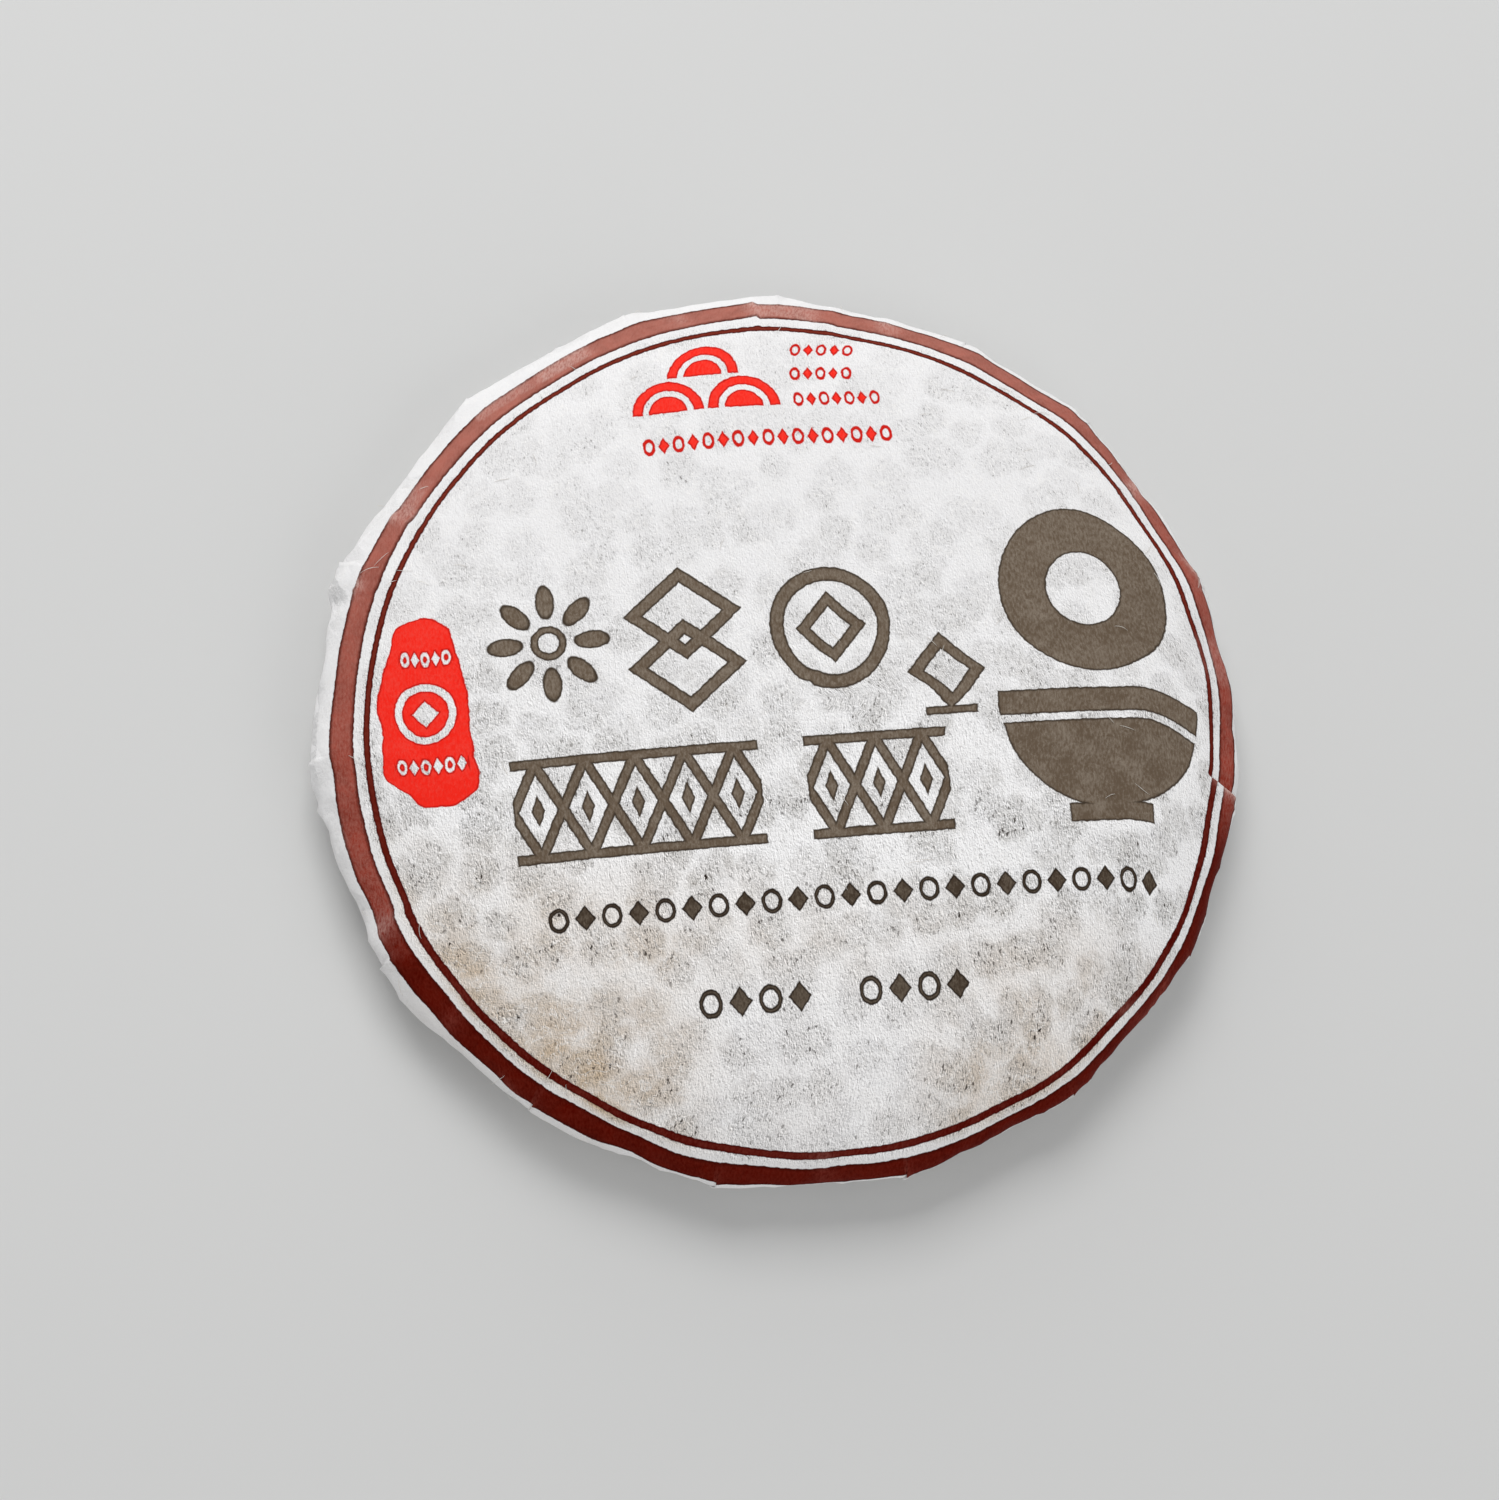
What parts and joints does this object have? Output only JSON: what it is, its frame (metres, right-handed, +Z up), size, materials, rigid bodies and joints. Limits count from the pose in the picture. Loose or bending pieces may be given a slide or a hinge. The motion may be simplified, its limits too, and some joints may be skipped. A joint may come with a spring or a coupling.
{
  "type": "paper-wrapped ripe pu-erh mini tea cake",
  "caption": "Small round cake of pressed ripe tea in its printed tissue wrapper, with a low domed face, a rounded edge and a pleated back that it rests on.",
  "frame": {"origin": "middle of the outline at the surface the cake rests on", "axes": "+Z up out of the printed face, +X to the print's right, +Y to the print's top"},
  "size_m": [0.1072, 0.1068, 0.017],
  "materials": {
    "wrapper_paper": "matt long-fibre tissue with a cloudy sheet, printed in maroon, red and grey-brown"
  },
  "bodies": {
    "root": {"wrapped_tea_cake": "wrapper_paper"}
  },
  "joints": []
}
